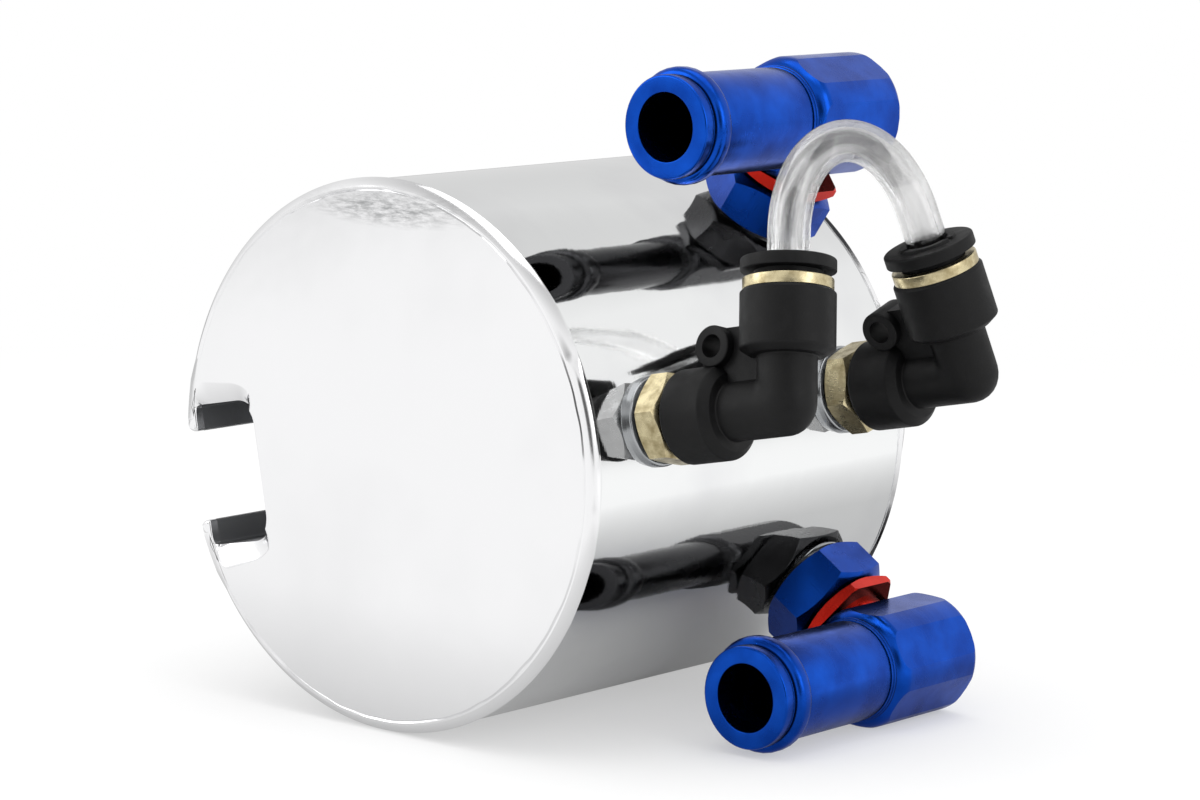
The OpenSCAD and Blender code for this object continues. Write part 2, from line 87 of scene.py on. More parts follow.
def place(points, angle, y, lean=0.0):
    # Turned by lean about the fitting's axis, then by angle about the can's axis, moved y along it:
    # along = s cos(lean) + t sin(lean), up = t cos(lean) - s sin(lean)
    a, b = np.radians(angle), np.radians(lean)
    points = np.asarray(points, float)
    out, s, t = points[..., 0], points[..., 1], points[..., 2]
    along = s * np.cos(b) + t * np.sin(b)
    up = t * np.cos(b) - s * np.sin(b)
    return np.stack([out * np.cos(a) - up * np.sin(a), y + along, out * np.sin(a) + up * np.cos(a)], -1) * mm


def softened(corners, steps=6):
    # Each corner (h, r, radius) of an outline becomes an arc tangent to both its sides:
    # the arc starts radius * tan(turn / 2) before the corner, and its centre lies on the bisector
    rows = []
    for i, corner in enumerate(corners):
        p, radius = np.array(corner[:2], float), (corner[2] if len(corner) > 2 else 0)
        if radius == 0 or i in (0, len(corners) - 1):
            rows.append(p)
            continue
        a, b = np.array(corners[i - 1][:2]) - p, np.array(corners[i + 1][:2]) - p
        a, b = a / np.linalg.norm(a), b / np.linalg.norm(b)
        half = np.arccos(np.clip(a @ b, -1, 1)) / 2
        mid = (a + b) / np.linalg.norm(a + b)
        centre = p + mid * radius / np.sin(half)
        first, last = p + a * radius / np.tan(half) - centre, p + b * radius / np.tan(half) - centre
        k = np.linspace(0, 1, steps + 1)[:, None]
        sweep = np.arccos(np.clip(first @ last / radius**2, -1, 1))
        arc = (np.sin((1 - k) * sweep) * first + np.sin(k * sweep) * last) / np.sin(sweep)
        rows.extend(centre + arc)
    return np.array(rows)


def quads(rows, cols, closeRows=False, closeCols=True):
    # Corner numbers of a grid whose point (i, j) has the number i * cols + j
    i = np.arange(rows if closeRows else rows - 1)[:, None]
    j = np.arange(cols if closeCols else cols - 1)[None, :]
    i2, j2 = (i + 1) % rows, (j + 1) % cols
    return np.stack([i * cols + j, i * cols + j2, i2 * cols + j2, i2 * cols + j], -1).reshape(-1, 4)


def turned(profile, sides=120, closed=False):
    # The outline point (h, r) is carried round the axis: (h, r cos t, r sin t)
    t = np.linspace(0, 2 * np.pi, sides, endpoint=False)
    h, r = profile[:, 0:1], profile[:, 1:2]
    points = np.stack([h + 0 * t, r * np.cos(t), r * np.sin(t)], -1)
    return points, quads(len(profile), sides, closeRows=closed)


def flatted(profile, acrossFlats, turn=0.0, closed=False, landSteps=6, flatSteps=8):
    # A turned bar with six flats: the radius at angle t is the smaller of the outline's r and
    # (acrossFlats / 2) / cos(t - middle of the flat); the columns follow the flats' edges
    half = acrossFlats / 2
    r = profile[:, 1]
    below = np.radians(12) * np.clip((half - r) / 0.8, 0.03, 1)  # narrow columns where no flat is cut
    edge = np.where(r > half, np.arccos(np.clip(half / np.maximum(r, 1e-6), 0, 1)), below)
    edge = np.clip(edge, np.radians(0.3), np.radians(30))[:, None]
    k = np.linspace(-1, 1, flatSteps + 1)[None, :]
    m = np.linspace(0, 1, landSteps + 1)[None, 1:-1]
    one = np.concatenate([k * edge, edge + (np.radians(60) - 2 * edge) * m], 1)
    t = np.concatenate([one + np.radians(60 * n) for n in range(6)], 1)
    middle = np.round(t / np.radians(60)) * np.radians(60)
    radius = np.minimum(r[:, None], half / np.cos(t - middle))
    t = t + np.radians(turn)
    points = np.stack([profile[:, 0:1] + 0 * t, radius * np.cos(t), radius * np.sin(t)], -1)
    return points, quads(len(profile), t.shape[1], closeRows=closed)


def makePiece(name, shapes, body, material, replaced=(), sharp=25.0):
    # One object from several shapes, each its points in metres and its faces' corner numbers. Its place is in
    # its mesh. A piece given no body is attached to none
    corners, faces, count = [], [], 0
    for points, numbers in shapes:
        flat = np.asarray(points, float).reshape(-1, 3)
        corners.append(flat)
        faces.extend([[int(n) + count for n in face] for face in numbers])
        count += len(flat)
    mesh = bpy.data.meshes.new(name)
    mesh.from_pydata(np.concatenate(corners).tolist(), [], faces)
    solid = bmesh.new()
    solid.from_mesh(mesh)
    bmesh.ops.remove_doubles(solid, verts=solid.verts, dist=2e-6)
    bmesh.ops.dissolve_degenerate(solid, edges=solid.edges, dist=1e-6)
    bmesh.ops.recalc_face_normals(solid, faces=solid.faces)
    solid.to_mesh(mesh)
    solid.free()
    mesh.shade_smooth()
    # the triangles are flat fillings: they keep their own direction, so nothing bends their mirror image
    count = np.empty(len(mesh.polygons), int)
    mesh.polygons.foreach_get("loop_total", count)
    mesh.polygons.foreach_set("use_smooth", count > 3)
    mesh.set_sharp_from_angle(angle=np.radians(sharp))
    mesh.materials.append(material)
    piece = bpy.data.objects.new(name, mesh)
    bpy.context.scene.collection.objects.link(piece)
    if body:
        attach(piece, body)
    if replaced:
        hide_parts(*replaced)
    return piece


# Materials

def linear(colour):
    # sRGB hex to linear: c / 12.92 below 0.04045, else ((c + 0.055) / 1.055) to the power 2.4
    c = np.array([int(colour[i:i + 2], 16) for i in (1, 3, 5)]) / 255
    c = np.where(c <= 0.04045, c / 12.92, ((c + 0.055) / 1.055) ** 2.4)
    return (*c.tolist(), 1.0)


def addNode(tree, kind, settings=None, links=None, **options):
    # One node with its options, its sockets' values and its links {socket: (node, output)}
    node = tree.nodes.new(kind)
    for key, value in options.items():
        setattr(node, key, value)
    for key, value in (settings or {}).items():
        node.inputs[key].default_value = value
    for key, (source, output) in (links or {}).items():
        tree.links.new(source.outputs[output], node.inputs[key])
    return node


def newMaterial(name):
    material = bpy.data.materials.new(name)
    material.use_nodes = True
    tree = material.node_tree
    tree.nodes.clear()
    return material, tree


def stretched(tree, scale):
    # Object coordinates in metres times scale, so a noise of scale 1 has one blob per 1 / scale metres
    where = addNode(tree, "ShaderNodeTexCoord")
    return addNode(tree, "ShaderNodeMapping", {"Scale": scale}, {"Vector": (where, "Object")})


def noise(tree, scale, detail=3.0, roughness=0.5):
    return addNode(tree, "ShaderNodeTexNoise", {"Scale": 1.0, "Detail": detail, "Roughness": roughness},
                   {"Vector": (stretched(tree, scale), "Vector")})


def ranged(tree, source, output, low, high, toLow, toHigh):
    return addNode(tree, "ShaderNodeMapRange",
                   {"From Min": low, "From Max": high, "To Min": toLow, "To Max": toHigh},
                   {"Value": (source, output)})


def mixed(tree, factor, output, a, b):
    # Two hex colours mixed by a factor from another node
    node = addNode(tree, "ShaderNodeMix", data_type="RGBA")
    node.inputs[6].default_value, node.inputs[7].default_value = linear(a), linear(b)
    tree.links.new(factor.outputs[output], node.inputs[0])
    return node


def bumped(tree, source, output, distance, strength=1.0, under=None):
    links = {"Height": (source, output)}
    if under:
        links["Normal"] = (under, "Normal")
    return addNode(tree, "ShaderNodeBump", {"Distance": distance, "Strength": strength}, links)


def finish(tree, settings, links):
    shader = addNode(tree, "ShaderNodeBsdfPrincipled", settings, links)
    addNode(tree, "ShaderNodeOutputMaterial", None, {"Surface": (shader, "BSDF")})


def greyStreaks(tree, tint, streakPatch):
    # A patch by the top of the rim: short streaks of grey, inside a
    # ball of the patch's size whose middle is on the face
    where = addNode(tree, "ShaderNodeTexCoord")
    local = addNode(tree, "ShaderNodeMapping", {"Location": streakPatch["middle"]}, {"Vector": (where, "Object")},
                    vector_type="TEXTURE")
    scaled = addNode(tree, "ShaderNodeVectorMath", {1: streakPatch["perMetre"]}, {0: (local, "Vector")},
                     operation="MULTIPLY")
    far = addNode(tree, "ShaderNodeVectorMath", None, {0: (scaled, "Vector")}, operation="LENGTH")
    inside = ranged(tree, far, "Value", 0.3, 1.0, 1.0, 0.0)
    streaks = ranged(tree, noise(tree, (420, 420, 1900), 5, 0.65), "Fac", 0.38, 0.62, 0.0, 1.0)
    share = addNode(tree, "ShaderNodeMath", None, {0: (inside, "Result"), 1: (streaks, "Result")},
                    operation="MULTIPLY")
    return addNode(tree, "ShaderNodeMix", {7: linear(streakPatch["colour"])}, {0: (share, 0), 6: (tint, 2)},
                   data_type="RGBA")


def buffedAluminium(name, colour, dull, roughness, wave, lineDepth, streakPatch=None):
    # Aluminium buffed on a wheel: a near mirror with slow waves and fine marks along the buffing
    material, tree = newMaterial(name)
    cloud = noise(tree, (28, 28, 28), 4)  # cloudy patches about 35 mm across
    marks = noise(tree, (60, 3500, 60), 2)  # marks about 0.3 mm apart, run round the can
    swell = noise(tree, (110, 110, 110), 2)  # waves about 9 mm long
    rough = ranged(tree, cloud, "Fac", 0.35, 0.75, roughness[0], roughness[1])
    tint = mixed(tree, ranged(tree, cloud, "Fac", 0.5, 0.8, 0, 1), "Result", colour, dull)
    if streakPatch:
        tint = greyStreaks(tree, tint, streakPatch)
    waves = bumped(tree, swell, "Fac", wave)
    lines = bumped(tree, marks, "Fac", lineDepth, 1.0, waves)
    finish(tree, {"Metallic": 1.0},
           {"Base Color": (tint, 2), "Roughness": (rough, "Result"), "Normal": (lines, "Normal")})
    return material


def paintedReflectionGrey(tree, tint, grey):
    # Painted reflection: a glossy ray meets this grey instead of the part's colour, so the polished tank mirrors
    # the coloured parts grey
    ray = addNode(tree, "ShaderNodeLightPath")
    return addNode(tree, "ShaderNodeMix", {7: linear(grey)}, {0: (ray, "Is Glossy Ray"), 6: (tint, 2)},
                   data_type="RGBA")


def anodised(name, colour, deep, roughness):
    # Anodised aluminium: dyed oxide over turned metal, so the tool's rings show and the dye varies a little
    material, tree = newMaterial(name)
    cloud = noise(tree, (160, 160, 160), 4)
    rings = noise(tree, (120, 6500, 120), 2)  # feed marks about 0.15 mm apart, across the barbs
    specks = noise(tree, (1800, 1800, 1800), 2)
    rough = ranged(tree, cloud, "Fac", 0.3, 0.7, roughness[0], roughness[1])
    tint = mixed(tree, ranged(tree, cloud, "Fac", 0.3, 0.75, 0, 1), "Result", colour, deep)
    lines = bumped(tree, rings, "Fac", 0.000012)
    grain = bumped(tree, specks, "Fac", 0.000006, 1.0, lines)
    # to glossy rays the dyed colour is swapped for a painted reflection grey
    finish(tree, {"Metallic": 1.0},
           {"Base Color": (paintedReflectionGrey(tree, tint, "#404042"), 2), "Roughness": (rough, "Result"),
            "Normal": (grain, "Normal")})
    return material


def paleBrass(name):
    # Plated brass, tumbled: pale yellow, with rubbed patches and small scratches
    material, tree = newMaterial(name)
    cloud = noise(tree, (500, 500, 500), 5, 0.6)
    scratches = noise(tree, (400, 2600, 5200), 3)
    rough = ranged(tree, cloud, "Fac", 0.3, 0.7, 0.18, 0.42)
    tint = mixed(tree, ranged(tree, cloud, "Fac", 0.42, 0.72, 0, 1), "Result", "#d8cba4", "#9c8c66")
    lines = bumped(tree, scratches, "Fac", 0.00002)
    # to glossy rays the brass colour is swapped for a painted reflection grey
    finish(tree, {"Metallic": 1.0},
           {"Base Color": (paintedReflectionGrey(tree, tint, "#b4b4b4"), 2), "Roughness": (rough, "Result"),
            "Normal": (lines, "Normal")})
    return material


def mouldedNylon(name, colour, pale):
    # Black glass-filled nylon from an eroded mould: a fine matt grain and a few scuffs
    material, tree = newMaterial(name)
    grain = noise(tree, (5000, 5000, 5000), 2)  # mould grain about 0.2 mm
    scuffs = noise(tree, (350, 350, 350), 6, 0.65)
    rough = ranged(tree, scuffs, "Fac", 0.35, 0.7, 0.46, 0.62)
    tint = mixed(tree, ranged(tree, scuffs, "Fac", 0.5, 0.8, 0, 1), "Result", colour, pale)
    dimples = bumped(tree, grain, "Fac", 0.00002)
    finish(tree, {"IOR": 1.5, "Specular IOR Level": 0.24},
           {"Base Color": (tint, 2), "Roughness": (rough, "Result"), "Normal": (dimples, "Normal")})
    return material


def clearPolyurethane(name):
    # Clear polyurethane tube: glassy, with faint streaks from the die along it. Its wall is thin, so the
    # alpha lets a third of the light straight through
    material, tree = newMaterial(name)
    streaks = noise(tree, (900, 120, 120), 2)
    lines = bumped(tree, streaks, "Fac", 0.000004)
    finish(tree, {"Base Color": linear("#ffffff"), "Roughness": 0.0, "IOR": 1.5,
                  "Transmission Weight": 1.0, "Alpha": 0.66}, {"Normal": (lines, "Normal")})
    return material


def seeThrough(name):
    # The plane where the two halves of the clear tube meet: nothing shows there, as the real tube runs on
    material, tree = newMaterial(name)
    finish(tree, {"Base Color": linear("#f6f8f9"), "Alpha": 0.0}, {})
    return material


def drawnWire(name, colour, roughness):
    # Drawn spring steel: bright, with faint marks from the die
    material, tree = newMaterial(name)
    marks = noise(tree, (3000, 3000, 3000), 2)
    rough = ranged(tree, marks, "Fac", 0.3, 0.7, roughness, roughness + 0.15)
    finish(tree, {"Metallic": 1.0, "Base Color": linear(colour)}, {"Roughness": (rough, "Result")})
    return material


def sealRubber(name):
    # Nitrile seal rubber: black, smooth, slightly oily
    material, tree = newMaterial(name)
    marks = noise(tree, (2500, 2500, 2500), 3)
    rough = ranged(tree, marks, "Fac", 0.3, 0.7, 0.4, 0.6)
    finish(tree, {"Base Color": linear("#141414")}, {"Roughness": (rough, "Result")})
    return material


tubeMetal = buffedAluminium("buffedTankTube", "#eceded", "#dcdcde", (0.03, 0.09), 0.00004, 0.000003)
capMetal = buffedAluminium("buffedEndCap", "#f3f3f4", "#ededee", (0.10, 0.20), 0.00004, 0.000004,
                          {"middle": (0.001, 0.0, 0.0362), "perMetre": (55, 60, 330), "colour": "#aeafb0"})
bossMetal = buffedAluminium("machinedBoss", "#a9abad", "#8c8e91", (0.16, 0.34), 0.00004, 0.00002)
# the pocket's metal is rougher, and its darker grey is painted shade
pocketMetalPaintedShade = buffedAluminium("pocketRoughPaintedShade", "#a8a9ab", "#8a8b8d", (0.38, 0.55), 0.00004, 0.00001)
blueMetal = anodised("blueAnodisedAluminium", "#1656cc", "#0c3896", (0.18, 0.32))
redMetal = anodised("redAnodisedAluminium", "#ee3a2c", "#c01d14", (0.18, 0.32))
brassMetal = paleBrass("paleBrass")
blackNylon = mouldedNylon("blackNylon", "#080809", "#141415")
clearTube = clearPolyurethane("clearPolyurethane")
openJoint = seeThrough("clearPolyurethaneJoint")
springMetal = drawnWire("springWire", "#b9bbbd", 0.2)
rubber = sealRubber("nitrileRubber")

slotMaterials = {
    "tank_aluminium": tubeMetal, "cap_aluminium": capMetal, "blue_anodised": blueMetal,
    "red_anodised": redMetal, "plated_brass": brassMetal, "spring_steel": springMetal,
    "seal_rubber": rubber, "black_plastic": blackNylon, "clear_tube": clearTube,
}
for entry in frame["record"]["subparts"]:
    node = nodes[entry["node"]]
    node.data.materials.clear()
    node.data.materials.append(slotMaterials[entry["material_slot"]])
for side in ("upper", "lower"):
    nodes[side + "_port_bung"].data.materials[0] = bossMetal  # the bungs get the bosses' darker metal
print("materials made")


# Tank tube with its channel: u points out of the channel, t runs across its mouth
channel = {"floor": 25.0, "halfWidth": 10.6, "corner": 4.0, "mouthHalf": 6.7, "lip": 2.6, "lipRound": 2.0,
           "wall": 3.0, "groove": 0.42, "grooveWave": 0.35}


def arc(cx, cy, radius, first, last, steps):
    # Points of a circle about (cx, cy) from one angle to another, in degrees
    t = np.radians(np.linspace(first, last, steps))
    return np.stack([cx + radius * np.cos(t), cy + radius * np.sin(t)], -1)


def slotOutline(radius):
    # A circle of this radius, walked with the metal on the left: big arc, lip's round corner, pocket, and the
    # other lip's corner. Its centre lies radius - lipRound from the axis and mouthHalf + lipRound aside
    c = channel
    side = c["mouthHalf"] + c["lipRound"]
    mid = np.sqrt((radius - c["lipRound"])**2 - side**2)
    turn = np.degrees(np.arctan2(side, mid))
    inner = lipFace()
    pocket = softened([
        (mid, -c["mouthHalf"]), (inner, -c["mouthHalf"], 0.35), (inner, -c["halfWidth"], 0.5),
        (c["floor"], -c["halfWidth"], c["corner"]), (c["floor"], c["halfWidth"], c["corner"]),
        (inner, c["halfWidth"], 0.5), (inner, c["mouthHalf"], 0.35), (mid, c["mouthHalf"])], 10)
    outline = np.concatenate([arc(0, 0, radius, turn, 360 - turn, 361),
                              arc(mid, -side, c["lipRound"], -turn, 90, 14), denser(pocket, 0.5),
                              arc(mid, side, c["lipRound"], -90, turn, 14)])
    apart = np.linalg.norm(outline - np.roll(outline, 1, 0), axis=1) > 1e-4
    return outline[apart]  # without doubled points


def lipFace():
    # Height of the lips' inner face: the tube's surface at the mouth, less the lips' thickness
    return np.sqrt(can["radius"]**2 - channel["mouthHalf"]**2) - channel["lip"]


def denser(outline, step):
    # The same line with its points at most step apart, by linear interpolation along its length
    length = np.concatenate([[0], np.cumsum(np.linalg.norm(np.diff(outline, axis=0), axis=1))])
    where = np.union1d(length, np.linspace(0, length[-1], int(length[-1] / step) + 1))
    return np.stack([np.interp(where, length, outline[:, 0]), np.interp(where, length, outline[:, 1])], -1)


def intoMetal(outline):
    # Unit normals to the left of the walking direction, from the two neighbours of each point
    step = np.roll(outline, -1, 0) - np.roll(outline, 1, 0)
    return np.stack([-step[:, 1], step[:, 0]], -1) / np.linalg.norm(step, axis=1)[:, None]


def onCircle(outline, radius):
    # 1 on the big arc, 0 elsewhere
    return (np.hypot(outline[:, 0], outline[:, 1]) > radius - 0.02).astype(float)


def wobble(outline):
    # Slow hand-made waves round the seam: a sum of three sines of the angle, between about -1 and 1
    a = np.arctan2(outline[:, 1], outline[:, 0])
    return 0.5 * np.sin(9 * a + 0.6) + 0.3 * np.sin(23 * a + 2.1) + 0.2 * np.sin(47 * a)


def eased(values, steps):
    # A moving average round the closed outline
    padded = np.concatenate([values[-steps:], values, values[:steps]])
    return np.convolve(padded, np.full(2 * steps + 1, 1 / (2 * steps + 1)), "same")[steps:-steps]


def weldGroove(outline, radius):
    # Depth of the ground chamfer by the weld: groove (1 + grooveWave * wobble), easing to 0 in the channel
    onRound = eased(onCircle(outline, radius), 3)
    return channel["groove"] * (1 + channel["grooveWave"] * wobble(outline)) * onRound


def alongCan(outline, y):
    # (u, t) of the channel's frame at distance y: x = u cos a - t sin a, z = u sin a + t cos a
    a = np.radians(can["channelAngle"])
    u, t = outline[:, 0], outline[:, 1]
    return np.stack([u * np.cos(a) - t * np.sin(a), y + 0 * u, u * np.sin(a) + t * np.cos(a)], -1) * mm


def filled(outlines, y):
    # A flat face between closed outlines, the first one outermost
    loops = [[Vector((u, t, 0)) for u, t in outline] for outline in outlines]
    return np.concatenate([alongCan(outline, y) for outline in outlines]), geometry.tessellate_polygon(loops)


def innerOutline():
    # The tank's inside: the tube's inner arc from one side of the pocket to the other, and round the pocket
    c = channel
    side = c["halfWidth"] + c["wall"]
    radius = c["corner"] + c["wall"]
    wide = np.degrees(np.arcsin(side / can["innerRadius"]))
    big = arc(0, 0, can["innerRadius"], wide, 360 - wide, 240)
    corner = arc(c["floor"] - c["wall"] + radius, side - radius, radius, 90, 180, 12)
    return np.concatenate([big, corner * [1, -1], corner[::-1]])


def tankTube():
    # Outer walls with a small ground chamfer at both ends, where the caps are welded on, and the inner walls
    outer, inner = slotOutline(can["radius"]), innerOutline()
    normal = intoMetal(outer)
    groove = weldGroove(outer, can["radius"])
    low, high = can["capFlange"], can["length"] - can["capFlange"]
    drawnIn = outer + normal * groove[:, None]
    rows = [alongCan(drawnIn, low), alongCan(outer, low + groove),
            alongCan(outer, high - groove), alongCan(drawnIn, high)]
    return [(np.stack(rows), quads(4, len(outer))),
            (np.stack([alongCan(inner, low), alongCan(inner, high)]), quads(2, len(inner))),
            filled([drawnIn, inner], low), filled([drawnIn, inner], high)]


tankPiece = makePiece("tankTube", tankTube(), "can", tubeMetal, ["can_shell"], 20)
tankPiece.data.materials.append(pocketMetalPaintedShade)  # for the pocket behind the lips, which no wheel reaches: rougher, and its darker grey is painted shade
centres = np.empty(len(tankPiece.data.polygons) * 3)
tankPiece.data.polygons.foreach_get("center", centres)
x, y, z = centres.reshape(-1, 3).T / mm
turn = np.radians(can["channelAngle"])
u, t = x * np.cos(turn) + z * np.sin(turn), z * np.cos(turn) - x * np.sin(turn)
within = (u > channel["floor"] - 0.1) & (u < lipFace() + 0.05) & (np.abs(t) < channel["halfWidth"] + 0.05)
tankPiece.data.polygons.foreach_set("material_index", (within & (y > can["capFlange"] + 0.5)).astype(int))
print("tank tube made")


# End caps: a rounded rim, and beside the channel the wide bevels that were ground by hand
cap = {"edge": 1.3, "bevel": 4.0, "bevelDepth": 1.4, "narrowing": 8.0, "smallEdge": 0.5, "steps": 10,
       "lipEdge": 0.3, "groundShare": 0.75, "hornEdge": 2.0, "hornReach": 19.0, "hornFade": 7.0,
       "seam": 0.8, "seamDepth": 0.16, "seamWave": 0.3}


def besideChannel(outline):
    # 1 next to the channel's mouth, easing to 0 further round: 3 k k - 2 k k k, where k falls from 1 to 0
    k = np.clip((cap["hornReach"] - np.abs(outline[:, 1])) / cap["hornFade"], 0, 1) * (outline[:, 0] > 0)
    return 3 * k**2 - 2 * k**3


def capEdges(outline):
    # Width and depth of the edge at each point, and how straight it is: the rim's, the bevels' (widest at the
    # lips, narrower by the tangent of narrowing further in) or a small one
    u, t = outline[:, 0], np.abs(outline[:, 1])
    inner = lipFace()
    rim = np.hypot(outline[:, 0], outline[:, 1]) > can["rimRadius"] - 0.6
    beside = (t > channel["halfWidth"] - 1.2) & (u < inner + 0.1)
    slant = cap["bevel"] - np.tan(np.radians(cap["narrowing"])) * (inner - u)
    wide = cap["edge"] + (cap["hornEdge"] - cap["edge"]) * besideChannel(outline)
    free = can["rimRadius"] - cap["hornEdge"] - 0.12  # the bevel ends where the rim's own edge begins
    room = np.sqrt(np.maximum(free**2 - u**2, 0)) - channel["halfWidth"]
    slant = np.clip(np.minimum(slant, room), cap["smallEdge"], cap["bevel"])
    width = np.where(rim, wide, np.where(beside, slant, cap["smallEdge"]))
    lipSide = (np.abs(u - inner) < 0.06) & (t < channel["halfWidth"] - 0.5)
    width = np.where(lipSide, cap["lipEdge"], width)
    depth = np.where(rim, cap["edge"], np.minimum(cap["bevelDepth"], width))
    straight = np.where(beside & ~lipSide, cap["groundShare"], 0.0)
    return eased(width, 2), eased(depth, 2), eased(straight, 2)


def endCap(faceY, inward):
    # At step k from face to wall a rounded edge is drawn in by width (1 - sin) and lies depth (1 - cos) deep,
    # and a ground bevel by width (1 - k) and depth k; then the wall runs to the weld groove
    outline = slotOutline(can["rimRadius"])
    normal = intoMetal(outline)
    width, depth, straight = capEdges(outline)
    groove = weldGroove(outline, can["rimRadius"])
    # inside the rim's rounding lies the ground-over weld: a shallow wavy groove that fades out at the channel
    seam = eased(onCircle(outline, can["rimRadius"]), 4) * (1 - besideChannel(outline))
    wave = 1 + cap["seamWave"] * wobble(outline)
    rows = [(outline + normal * (width + 0.1 + seam * cap["seam"] * wave * far)[:, None], deep * seam)
            for far, deep in ((1.0, 0.0), (0.75, 0.0), (0.5, cap["seamDepth"]), (0.25, 0.0))]
    for k in np.linspace(0, 1, cap["steps"] + 1):
        sine, cosine = np.sin(k * np.pi / 2), np.cos(k * np.pi / 2)
        drawnIn = width * ((1 - sine) * (1 - straight) + (1 - k) * straight)
        deep = depth * ((1 - cosine) * (1 - straight) + k * straight)
        rows.append((outline + normal * drawnIn[:, None], deep))
    rows.append((outline, np.maximum(can["capFlange"] - groove, depth + 0.02)))
    rows.append((outline + normal * groove[:, None], can["capFlange"] + 0 * groove))
    walls = np.stack([alongCan(line, faceY + inward * deep) for line, deep in rows])
    return [(walls, quads(len(rows), len(outline))), filled([rows[0][0]], faceY),
            filled([rows[-1][0]], faceY + inward * can["capFlange"])]


makePiece("nearEndCap", endCap(0, 1), "can", capMetal, ["near_end_cap"], 30)
makePiece("farEndCap", endCap(can["length"], -1), "can", capMetal, ["far_end_cap"], 30)
print("end caps made")


# Hose ends

barb = {"axis": 58.0, "reach": 34.5, "radius": 7.5, "bead": 8.5, "beadMiddle": 3.8, "beadWidth": 3.0,
        "bore": 5.0, "bodyRadius": 9.0, "bodyFlats": 17.0, "front": 8.7, "back": 11.0, "shoulder": 2.5,
        "endRound": 1.4, "step": 7.62, "relief": 7.3, "beadGroove": 0.3, "beadRound": 1.15}


def hoseElbow(angle):
    # Outline along the barb's axis from the closed end, over body, shoulder, barrel and bead, into the bore
    b = barb
    low, high = b["reach"] - b["front"], b["reach"] + b["back"]
    beadLow, beadHigh = b["beadMiddle"] - b["beadWidth"] / 2, b["beadMiddle"] + b["beadWidth"] / 2
    r, thin = b["radius"], b["radius"] - b["beadGroove"]
    t = np.radians(np.linspace(90, 31, 26))
    big = b["bodyRadius"] - b["shoulder"]
    shoulder = np.stack([low + b["shoulder"] - b["shoulder"] * np.cos(t),
                         big + b["shoulder"] * np.sin(t)], -1)
    body = softened([(high, 0), (high, b["bodyRadius"], b["endRound"]),
                     (low + b["shoulder"] + 0.1, b["bodyRadius"])], 9)
    shank = softened([
        tuple(shoulder[-1]), (low - 0.1, shoulder[-1][1], 0.1), (low - 0.1, b["step"], 0.05),
        (low - 0.55, b["step"], 0.08), (low - 0.6, b["relief"], 0.06), (low - 0.85, b["relief"], 0.06),
        (low - 0.9, r, 0.1), (beadHigh + 0.55, r, 0.1), (beadHigh + 0.45, thin, 0.12), (beadHigh, thin, 0.1),
        (beadHigh, b["bead"], b["beadRound"]), (beadLow, b["bead"], b["beadRound"]), (beadLow, thin, 0.1),
        (beadLow - 0.4, thin, 0.12), (beadLow - 0.5, r, 0.1), (0, r, 0.35), (0, b["bore"], 0.12),
        (b["reach"] + 5.5, b["bore"], 0.2), (b["reach"] + 7.5, 0)], 7)
    outline = np.concatenate([body, shoulder, shank[1:]])
    points, faces = flatted(outline, b["bodyFlats"])
    # stood along y with the open face at -reach, one flat towards the tank
    stood = np.stack([b["axis"] - points[..., 1], points[..., 0] - b["reach"], points[..., 2]], -1)
    return place(stood, angle, can["portY"]), faces


nut = {"low": 40.3, "high": 47.3, "flats": 16.5, "bore": 6.65, "boreEnd": 44.25, "throat": 5.6, "mouth": 6.8}


def swivelNut(angle):
    # A hexagon bar from the nut's underside to its face, chamfered at 30 degrees, then the mouth and bore
    n = nut
    low, high, half = n["low"], n["high"], n["flats"] / 2
    corner = half / np.cos(np.radians(30))
    slope = np.tan(np.radians(30))
    outline = np.array([
        (low, n["bore"]), (low, half - 0.2),
        *[(low + (r - half + 0.2) * slope, r) for r in np.linspace(half, corner, 8)],
        *[(high - (r - half + 0.8) * slope, r) for r in np.linspace(corner, half, 10)],
        (high - 0.03, half - 0.75), (high, half - 0.85), (high, n["mouth"] + 0.12), (high - 0.12, n["mouth"]),
        (high - 1, n["mouth"]), (high - 1, n["throat"]), (n["boreEnd"], n["throat"]),
        (n["boreEnd"], n["bore"])])
    points, faces = flatted(outline, n["flats"], 30, closed=True)
    return place(points, angle, can["portY"]), faces


neck = {"low": 42.7, "noseHigh": 44.2, "nose": 6.5, "waist": 5.55, "ringLow": 46.6, "ring": 6.5,
        "hexLow": 47.6, "hexHigh": 49.5, "flats": 15.5, "tail": 5.7, "tailHigh": 52.4, "bore": 4.3}


def swivelNeck(angle):
    # Nose, neck and visible ring turned about the port's axis, then the thin hexagon against the elbow
    n = neck
    half = n["flats"] / 2
    corner = half / np.cos(np.radians(30))
    slope = np.tan(np.radians(30))
    top = [(n["hexHigh"] - (r - half - 0.8) * slope, r) for r in np.linspace(corner, half + 0.8, 4)]
    low = [(n["hexLow"] + (r - half + 0.1) * slope, r) for r in np.linspace(half, corner, 6)]
    outline = np.array([
        (n["low"], n["bore"]), (n["low"], n["nose"]), (n["noseHigh"], n["nose"]), (n["noseHigh"], n["waist"]),
        (n["ringLow"], n["waist"]), (n["ringLow"], n["ring"]), (n["hexLow"], n["ring"]),
        (n["hexLow"], half - 0.1), *low, *top, (n["hexHigh"], n["tail"]), (n["tailHigh"], n["tail"]),
        (n["tailHigh"], n["bore"])])
    points, faces = flatted(outline, n["flats"], 30, closed=True)
    return place(points, angle, can["portY"]), faces


